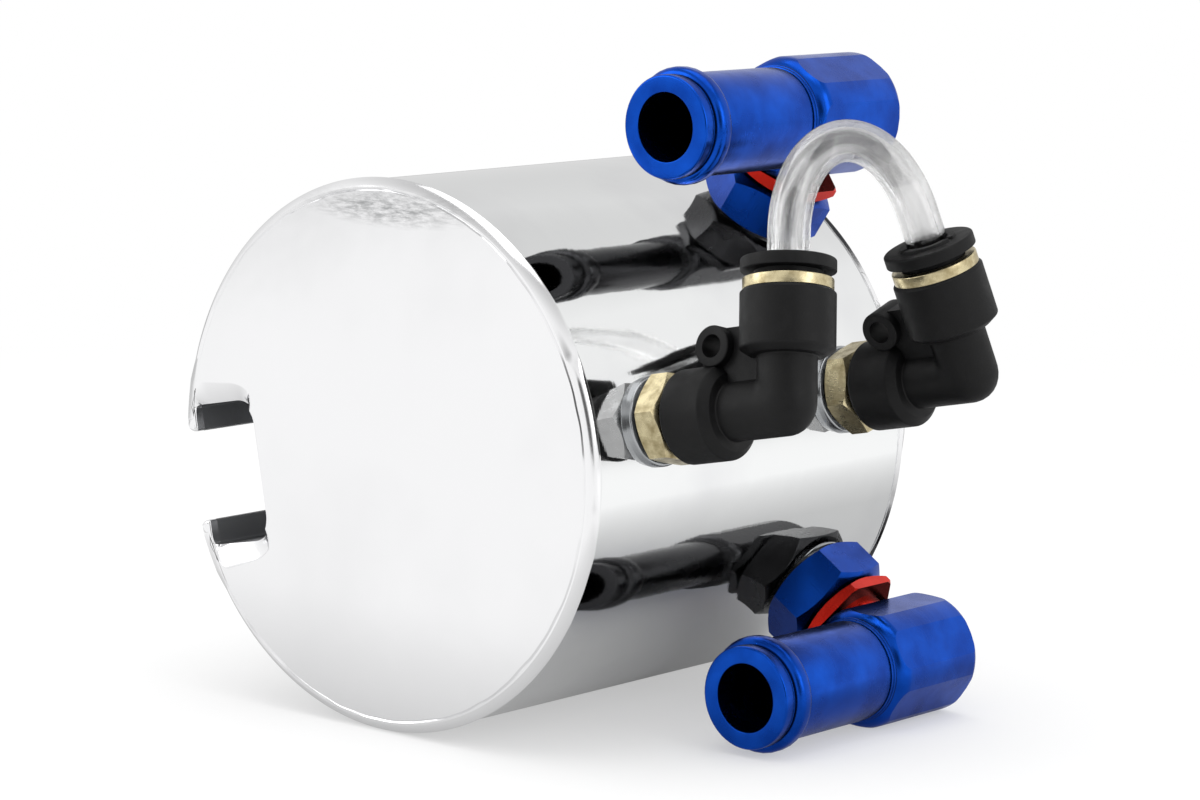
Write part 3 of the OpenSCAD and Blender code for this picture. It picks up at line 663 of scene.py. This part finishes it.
for side in ("upper", "lower"):
    angle = can[side + "Angle"]
    makePiece(side + "HoseElbow", [hoseElbow(angle)], side + "_hose_end", blueMetal,
              [side + "_hose_elbow"], 16)
    makePiece(side + "SwivelNut", [swivelNut(angle)], "can", blueMetal,
              [side + "_swivel_nut"], 16)
    makePiece(side + "SwivelNeck", [swivelNeck(angle)], side + "_hose_end", redMetal,
              [side + "_swivel_neck"], 16)
print("hose ends made")


# Sight elbows

stud = {"low": 31.34, "thread": 4.8, "hexLow": 41.2, "hex": 4.4, "flats": 12.0, "shank": 4.2, "high": 52.8,
        "bore": 2.4}


def brassStud():
    # Thread, chamfered hexagon and shank about the stud's axis, with the bore through it
    s = stud
    low, top, half = s["hexLow"], s["hexLow"] + s["hex"], s["flats"] / 2
    corner = half / np.cos(np.radians(30))
    slope = np.tan(np.radians(30))
    outline = np.array([
        (s["low"], s["bore"]), (s["low"], s["thread"]), (low, s["thread"]), (low, half - 0.5),
        *[(low + (r - half + 0.5) * slope, r) for r in np.linspace(half, corner, 8)],
        *[(top - (r - half + 0.3) * slope, r) for r in np.linspace(corner, half, 8)],
        (top, half - 0.3), (top, s["shank"]), (s["high"], s["shank"]), (s["high"], s["bore"])])
    return flatted(outline, s["flats"], 30, closed=True)


bossSizes = {"low": 30.84, "footHigh": 35.84, "high": 41.0, "foot": 9.0, "radius": 6.5, "edge": 0.35,
             "bore": 4.85}


def boss():
    # The welded boss that the stud screws into, with its soft outer edge
    b = bossSizes
    outline = softened([(b["low"], b["bore"]), (b["low"], b["foot"]), (b["footHigh"], b["foot"]),
                        (b["footHigh"], b["radius"]), (b["high"], b["radius"], b["edge"]),
                        (b["high"], b["bore"])], 5)
    return turned(outline, closed=True)


# The push-in elbow: barrel and axis are measured along the stud, stop to rim up the tube from the stud's axis
sight = {"barrelLow": 45.8, "barrelTop": 53.6, "axis": 63.5, "barrel": 6.7, "neck": 4.2,
         "studSocket": 4.25, "socketEnd": 52.9,
         "stop": 7.6, "socketLow": 7.8, "sealLow": 9.1, "grabLow": 11.3, "socketHigh": 16.0, "rim": 1.65,
         "sealBore": 4.65, "socketBore": 5.55, "tubeBore": 3.1,
         "eyeX": 52.4, "eyeZ": 9.0, "eyeRadius": 2.95, "eyeHole": 1.65, "eyeWidth": 6.0, "webHalf": 1.6}


def elbowBody():
    # Rings carried from the stud barrel, round the corner and up the tube barrel. Round the corner a ring's
    # outer side lies r (s + c) + r sqrt(2 s c) from the inner corner, where r is the neck's radius and s and
    # c are the turn's sine and cosine; near a leg it lies on the leg's own outer side, at 2 r / c or 2 r / s
    s = sight
    r, barrel = s["neck"], s["barrel"]
    low, top, foot, mouth = s["barrelLow"], s["barrelTop"], s["socketLow"], s["socketHigh"]
    first = softened([(s["socketEnd"], 0), (s["socketEnd"], s["studSocket"]), (low, s["studSocket"], 0.1),
                      (low, 6.05), (low + 0.6, barrel, 0.3), (top - 0.6, barrel, 0.5), (top + 0.6, 5.5, 0.3),
                      (top + 0.75, r, 0.25), (s["axis"] - r, r)], 6)
    last = softened([(r, r), (foot - 1.0, r, 0.25), (foot - 0.9, 5.3, 0.3), (foot, barrel, 0.5),
                     (mouth - 0.4, barrel, 0.3), (mouth, 6.3, 0.15), (mouth, s["socketBore"], 0.08),
                     (s["grabLow"], s["socketBore"]), (s["grabLow"], s["sealBore"]),
                     (s["sealLow"], s["sealBore"]), (s["sealLow"], s["tubeBore"]), (s["stop"], s["tubeBore"]),
                     (s["stop"], 0)], 6)
    turn = np.linspace(0, np.pi / 2, 20)[1:-1]
    sn, cs = np.sin(turn), np.cos(turn)
    slope = np.tan(turn)
    rounded = r * (sn + cs) + r * np.sqrt(2 * sn * cs)
    reach = np.where(slope <= 0.5, 2 * r / cs, np.where(slope >= 2, 2 * r / sn, rounded))
    # each ring: its centre, its in-plane half width and direction
    cx = np.concatenate([first[:, 0], s["axis"] - r + sn * reach / 2, np.full(len(last), s["axis"])])
    cz = np.concatenate([np.zeros(len(first)), r - cs * reach / 2, last[:, 0]])
    wide = np.concatenate([first[:, 1], reach / 2, last[:, 1]])
    deep = np.concatenate([first[:, 1], np.full(len(turn), r), last[:, 1]])
    dx = np.concatenate([np.zeros(len(first)), sn, np.ones(len(last))])
    dz = np.concatenate([-np.ones(len(first)), -cs, np.zeros(len(last))])
    t = np.linspace(0, 2 * np.pi, 96, endpoint=False)
    points = np.stack([cx[:, None] + (wide * dx)[:, None] * np.cos(t),
                       deep[:, None] * np.sin(t) + 0 * cx[:, None],
                       cz[:, None] + (wide * dz)[:, None] * np.cos(t)], -1)
    return points, quads(len(cx), 96)


def elbowEye():
    # The fixing eye, a short tube across the corner, and the web that carries it
    s = sight
    w = s["eyeWidth"] / 2
    ring = softened([(-w, s["eyeHole"]), (-w, s["eyeRadius"], 0.25), (w, s["eyeRadius"], 0.25),
                     (w, s["eyeHole"])], 4)
    points, faces = turned(ring, 48, closed=True)
    eye = np.stack([s["eyeX"] + points[..., 1], points[..., 0], s["eyeZ"] + points[..., 2]], -1)
    web = np.array([(49.8, 6.2), (49.8, 9.0), (52.4, 11.6), (57.2, 11.6), (57.2, 8.4), (60.0, 8.4),
                    (60.0, 3.4), (53.0, 3.4)])
    hole = arc(s["eyeX"], s["eyeZ"], s["eyeRadius"] - 0.5, 0, 345, 24)
    sides = [np.stack([np.stack([line[:, 0], np.full(len(line), y), line[:, 1]], -1)
                       for y in (-s["webHalf"], s["webHalf"])]) for line in (web, hole)]
    flat = geometry.tessellate_polygon([[Vector((x, z, 0)) for x, z in line] for line in (web, hole)])
    ends = [(np.concatenate([side[i] for side in sides]), flat) for i in (0, 1)]
    return [(eye, faces)], [*((side, quads(2, side.shape[1])) for side in sides), *ends]


def alongTube(profile, sides=96, closed=True):
    # A piece turned about the tube's axis: height up the tube, radius round it
    points, faces = turned(profile, sides, closed)
    return np.stack([sight["axis"] + points[..., 1], points[..., 2], points[..., 0]], -1), faces


def brassSleeve():
    # Skirt inside the socket and the rim that shows on top of it
    s = sight
    top = s["socketHigh"] + s["rim"]
    low = s["grabLow"] + 0.5
    bore, skirt, rim = 4.75, 5.5, 6.35
    return alongTube(softened([(low, bore), (low, skirt), (s["socketHigh"], skirt),
                               (s["socketHigh"], rim, 0.08), (top, rim, 0.2), (top, bore, 0.15),
                               (low + 0.05, bore)], 4))


def releaseCollar():
    # Nose, flange with a rounded edge, and the low lip round the tube with its three nicks
    s = sight
    nose, low = s["grabLow"] + 1.6, s["socketHigh"] + s["rim"] + 1.0
    high, lip = low + 1.8, low + 2.2
    bore, shank, flange = s["tubeBore"], 4.7, s["barrel"]
    outline = softened([(nose, bore), (nose, 4.2, 0.1), (nose + 0.8, shank, 0.1), (low, shank, 0.15),
                        (low, flange, 0.15), (high, flange, 0.35), (high, 4.3, 0.1), (lip, 4.2, 0.12),
                        (lip, bore, 0.1), (nose + 0.05, bore)], 5)
    points, faces = turned(outline, 144, closed=True)
    t = np.linspace(0, 2 * np.pi, 144, endpoint=False)
    nick = np.cos(3 * t) > 0.93
    points[..., 0] = np.where(nick[None, :] & (points[..., 0] > high + 0.02), high + 0.02, points[..., 0])
    return np.stack([s["axis"] + points[..., 1], points[..., 2], points[..., 0]], -1), faces


for end in ("near", "far"):
    y = can["sightY"] + (0 if end == "near" else can["sightSpan"])
    lean = can["nearLean"] if end == "near" else -can["farLean"]

    def at(shape):
        return place(shape[0], can["sightAngle"], y, lean), shape[1]

    makePiece(end + "StudBoss", [at(boss())], "can", bossMetal, [end + "_sight_boss"], 25)
    makePiece(end + "BrassStud", [at(brassStud())], "can", brassMetal,
              [end + "_brass_stud"], 16)
    eyeShapes, webShapes = elbowEye()
    makePiece(end + "ElbowBody", [at(elbowBody()), *map(at, eyeShapes), *map(at, webShapes)], end + "_elbow",
              blackNylon, [end + "_elbow_body"], 30)
    makePiece(end + "BrassSleeve", [at(brassSleeve())], end + "_elbow", brassMetal,
              [end + "_brass_sleeve"], 25)
    makePiece(end + "ReleaseCollar", [at(releaseCollar())], end + "_collar", blackNylon,
              [end + "_release_collar"], 25)
print("sight elbows made")


# Sight tube

tube = {"radius": 3.0, "bore": 1.9, "nearLeg": 24.0, "start": 7.8, "ring": 64, "flexFrom": 21.8}


def tubeRoute():
    # Near leg straight up its elbow, an arc tangent to both legs, and the far leg down, all in one plane. The
    # legs' lines cross nearSide and farSide up; the arc's radius is (nearSide - nearLeg) tan((a + b) / 2)
    a, b = np.radians(can["nearLean"]), np.radians(can["farLean"])
    span, nearLeg = can["sightSpan"], tube["nearLeg"]
    nearSide, farSide = span * np.cos(b) / np.sin(a + b), span * np.cos(a) / np.sin(a + b)
    r = (nearSide - nearLeg) * np.tan((a + b) / 2)
    farLeg = farSide - nearSide + nearLeg
    cy, cz = nearLeg * np.sin(a) + r * np.cos(a), nearLeg * np.cos(a) - r * np.sin(a)
    k = np.linspace(tube["start"], nearLeg, 18)[:-1]
    near = np.stack([k * np.sin(a), k * np.cos(a)], -1)
    t = np.linspace(np.pi - a, b, 61)
    bend = np.stack([cy + r * np.cos(t), cz + r * np.sin(t)], -1)
    q = np.linspace(farLeg, tube["start"], 18)[1:]
    far = np.stack([span - q * np.sin(b), q * np.cos(b)], -1)
    return np.concatenate([near, bend, far])


def tubeRings(path, radius):
    # Rings square to the path: path + normal * radius sin t along the can, axis + radius cos t out from it
    d = np.gradient(path, axis=0)
    d = d / np.linalg.norm(d, axis=1)[:, None]
    t = np.linspace(0, 2 * np.pi, tube["ring"], endpoint=False)[None, :]
    s = path[:, :1] - d[:, 1:] * radius * np.sin(t)
    z = path[:, 1:] + d[:, :1] * radius * np.sin(t)
    return np.stack([sight["axis"] + radius * np.cos(t) + 0 * s, s, z], -1)


def tubeShell(outside, inside):
    # The outer wall, and the inner wall back again, closed by a flat ring at each end
    points = np.concatenate([outside, inside[::-1]])
    return place(points, can["sightAngle"], can["sightY"]), quads(len(points), tube["ring"], closeRows=True)


route = tubeRoute()
outside, inside = tubeRings(route, tube["radius"]), tubeRings(route, tube["bore"])
middle = int(np.argmax(route[:, 1]))
apex = place((sight["axis"], *route[middle]), can["sightAngle"], can["sightY"])
for end, part, y, lean in (("near", slice(0, middle + 1), can["sightY"], can["nearLean"]),
                           ("far", slice(middle, None), can["sightY"] + can["sightSpan"], -can["farLean"])):
    half = makePiece(end + "SightTube", [tubeShell(outside[part], inside[part])], None, clearTube,
                     ["sight_tube"] if end == "near" else (), 40)
    half.data.materials.append(openJoint)
    # faces whose corners all lie in the joint's plane at the apex get the see-through finish
    mesh = half.data
    corners = np.empty(len(mesh.vertices) * 3)
    mesh.vertices.foreach_get("co", corners)
    faces = np.empty(len(mesh.polygons) * 4, int)
    mesh.polygons.foreach_get("vertices", faces)
    ring = place(outside[middle], can["sightAngle"], can["sightY"])
    flat = np.cross(ring[0] - apex, ring[tube["ring"] // 4] - apex)
    away = np.abs((corners.reshape(-1, 3) - apex) @ (flat / np.linalg.norm(flat)))
    mesh.polygons.foreach_set("material_index", (away[faces.reshape(-1, 4)].max(1) < 1e-6).astype(int))
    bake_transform(half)
print("sight tube made")


# Floor, light and camera; lengths in metres, and each range is from low, high to its values there
floorLook = {
    "half": 3.0, "gap": 0.00005, "colour": "#f4f4f4", "canX": 0.02, "canY": 0.04,
    # to the eye: its shadow by the can and pure white further off, by the distance from the can
    "eyeShare": (0.10, 0.40, 0.45, 1.0),
    # to polished metal: an even sheet in front and its true shade behind, by y, and a painted grey behind to the
    # left
    "mirrorShare": (-0.03, 0.05, 0.85, 0.20), "backLeft": (-0.85, 0.53, 0.0),
    "paintedGreyLeft": (0.12, 0.28, 1.0, 0.6),
    # and painted shade close to the can, by x either way, but no darker than frontTone, by y
    "paintedShadeTone": (0.02, 0.13, 0.27, 1.0), "frontTone": (-0.07, 0.015, 1.0, 0.6),
}

floorZ = -can["rimRadius"] * mm - floorLook["gap"]
floorMesh = bpy.data.meshes.new("paperFloor")
edge = floorLook["half"]
floorMesh.from_pydata([(-edge, -edge, floorZ), (edge, -edge, floorZ), (edge, edge, floorZ),
                       (-edge, edge, floorZ)], [], [(0, 1, 2, 3)])
floor = bpy.data.objects.new("paperFloor", floorMesh)
bpy.context.scene.collection.objects.link(floor)
paper, tree = newMaterial("whitePaper")
ray = addNode(tree, "ShaderNodeLightPath")
spot = addNode(tree, "ShaderNodeTexCoord")
spots = addNode(tree, "ShaderNodeSeparateXYZ", None, {0: (spot, "Object")})
canSpot = (floorLook["canX"], floorLook["canY"], floorZ)
fromCan = addNode(tree, "ShaderNodeVectorMath", {1: canSpot}, {0: (spot, "Object")}, operation="DISTANCE")
eyeShare = ranged(tree, fromCan, "Value", *floorLook["eyeShare"])
mirrorShare = ranged(tree, spots, "Y", *floorLook["mirrorShare"])
backLeft = addNode(tree, "ShaderNodeVectorMath", {1: floorLook["backLeft"]}, {0: (spot, "Object")},
                   operation="DOT_PRODUCT")
paintedGreyLeft = ranged(tree, backLeft, "Value", *floorLook["paintedGreyLeft"])
beside = addNode(tree, "ShaderNodeMath", None, {0: (spots, "X")}, operation="ABSOLUTE")
paintedShadeBeside = ranged(tree, beside, "Value", *floorLook["paintedShadeTone"])
inFront = ranged(tree, spots, "Y", *floorLook["frontTone"])
paintedShadeNear = addNode(tree, "ShaderNodeMath", None, {0: (paintedShadeBeside, "Result"), 1: (inFront, "Result")},
                 operation="MAXIMUM")
paintedMirrorShade = addNode(tree, "ShaderNodeMath", None, {0: (paintedGreyLeft, "Result"), 1: (paintedShadeNear, 0)},
                     operation="MULTIPLY")
seen = addNode(tree, "ShaderNodeMath", None, {0: (ray, "Is Camera Ray"), 1: (ray, "Is Transmission Ray")},
               operation="MAXIMUM")
eyePart = addNode(tree, "ShaderNodeMath", None, {0: (seen, 0), 1: (eyeShare, "Result")}, operation="MULTIPLY")
mirrorPart = addNode(tree, "ShaderNodeMath", None, {0: (ray, "Is Glossy Ray"), 1: (mirrorShare, "Result")},
                     operation="MULTIPLY")
share = addNode(tree, "ShaderNodeMath", None, {0: (eyePart, 0), 1: (mirrorPart, 0)}, operation="MAXIMUM")
# painted shade: glossy rays see the paper darker by these tones, over its real shadow
tone = addNode(tree, "ShaderNodeMix", {2: 1.0}, {0: (ray, "Is Glossy Ray"), 3: (paintedMirrorShade, 0)})
shade = addNode(tree, "ShaderNodeVectorMath", {0: linear(floorLook["colour"])[:3]}, {3: (tone, 0)},
                operation="SCALE")
matt = addNode(tree, "ShaderNodeBsdfDiffuse", None, {"Color": (shade, 0)})
glow = addNode(tree, "ShaderNodeEmission", {"Color": (1, 1, 1, 1)}, {"Strength": (tone, 0)})
both = addNode(tree, "ShaderNodeMixShader", None, {0: (share, 0)})
tree.links.new(matt.outputs[0], both.inputs[1])
tree.links.new(glow.outputs[0], both.inputs[2])
addNode(tree, "ShaderNodeOutputMaterial", None, {"Surface": (both, 0)})
floorMesh.materials.append(paper)

# What polished metal mirrors of the studio: white all round, greyer overhead and behind the can, and a dark
# patch low in front of it; each tone is a range from low, high to its values there
studio = {
    "overhead": (0.55, 0.95, 1.0, 0.45),
    "front": (0.633, -0.760, 0.150), "frontTone": (0.90, 0.97, 1.0, 0.12),
    "behind": (-0.64, 0.77, 0.0), "behindTone": (0.40, 0.95, 1.0, 0.74), "fill": 0.9,
}

world = bpy.data.worlds.new("whiteStudio")
bpy.context.scene.world = world
world.use_nodes = True
tree = world.node_tree
tree.nodes.clear()
ray = addNode(tree, "ShaderNodeLightPath")
sky = addNode(tree, "ShaderNodeTexCoord")
parts = addNode(tree, "ShaderNodeSeparateXYZ", None, {0: (sky, "Generated")})
overhead = ranged(tree, parts, "Z", *studio["overhead"])
towards = addNode(tree, "ShaderNodeVectorMath", {1: studio["front"]}, {0: (sky, "Generated")},
                  operation="DOT_PRODUCT")
dark = ranged(tree, towards, "Value", *studio["frontTone"])
away = addNode(tree, "ShaderNodeVectorMath", {1: studio["behind"]}, {0: (sky, "Generated")},
               operation="DOT_PRODUCT")
behind = ranged(tree, away, "Value", *studio["behindTone"])
above = addNode(tree, "ShaderNodeMath", None, {0: (overhead, "Result"), 1: (dark, "Result")},
                operation="MULTIPLY")
mirrored = addNode(tree, "ShaderNodeMath", None, {0: (above, 0), 1: (behind, "Result")}, operation="MULTIPLY")
toMirror = addNode(tree, "ShaderNodeMath", None, {0: (ray, "Is Glossy Ray"), 1: (mirrored, 0)},
                   operation="MULTIPLY")
toEye = addNode(tree, "ShaderNodeMath", None, {0: (ray, "Is Camera Ray"), 1: (ray, "Is Transmission Ray")},
                operation="MAXIMUM")
shown = addNode(tree, "ShaderNodeMath", None, {0: (toMirror, 0), 1: (toEye, 0)}, operation="MAXIMUM")
toMatt = addNode(tree, "ShaderNodeMath", {1: studio["fill"]}, {0: (ray, "Is Diffuse Ray")},
                 operation="MULTIPLY")
strength = addNode(tree, "ShaderNodeMath", None, {0: (shown, 0), 1: (toMatt, 0)}, operation="MAXIMUM")
back = addNode(tree, "ShaderNodeBackground", {"Color": (1, 1, 1, 1)}, {"Strength": (strength, 0)})
addNode(tree, "ShaderNodeOutputWorld", None, {"Surface": (back, 0)})


# Softboxes: place, width and height in metres, and power in watts; all face the middle of the can
lampTarget = (0.01, 0.037, 0.0)
lamps = {"topBox": ((0.05, 0.0, 0.75), 0.7, 0.7, 2.2), "leftBox": ((-0.55, -0.5, 0.35), 0.5, 0.5, 1.2),
         "rightBox": ((0.75, 0.05, 0.35), 0.4, 0.5, 0.8)}


def softbox(name, where, target, width, height, power):
    # An area lamp at where that faces target
    lamp = bpy.data.lights.new(name, "AREA")
    lamp.shape, lamp.size, lamp.size_y, lamp.energy = "RECTANGLE", width, height, power
    holder = bpy.data.objects.new(name, lamp)
    bpy.context.scene.collection.objects.link(holder)
    holder.location = where
    holder.rotation_mode = "QUATERNION"
    holder.rotation_quaternion = (Vector(target) - Vector(where)).to_track_quat("-Z", "Y")


for name, (where, width, height, power) in lamps.items():
    softbox(name, where, lampTarget, width, height, power)

# The camera: place in metres, angles in degrees, lens and sensor in millimetres
view = {"place": (0.3879, -0.4164, 0.0954), "azimuth": 39.79, "elevation": 8.65, "roll": 1.06, "lens": 119.85,
        "sensor": 36.0}
azimuth, elevation, roll = (np.radians(view[key]) for key in ("azimuth", "elevation", "roll"))
backward = np.array([np.sin(azimuth) * np.cos(elevation), -np.cos(azimuth) * np.cos(elevation),
                     np.sin(elevation)])
level = np.array([np.cos(azimuth), np.sin(azimuth), 0])
sideways = np.cos(roll) * level + np.sin(roll) * np.cross(backward, level)
upward = np.cross(backward, sideways)
camera = bpy.data.cameras.new("camera")
camera.lens, camera.sensor_width = view["lens"], view["sensor"]
camera.clip_start, camera.clip_end = 0.01, 20
cameraHolder = bpy.data.objects.new("camera", camera)
bpy.context.scene.collection.objects.link(cameraHolder)
turnMatrix = Matrix((sideways, upward, backward)).transposed().to_4x4()
cameraHolder.matrix_world = Matrix.Translation(view["place"]) @ turnMatrix
bpy.context.scene.camera = cameraHolder
bpy.context.scene.view_settings.view_transform = "Standard"
print("floor, light and camera made")
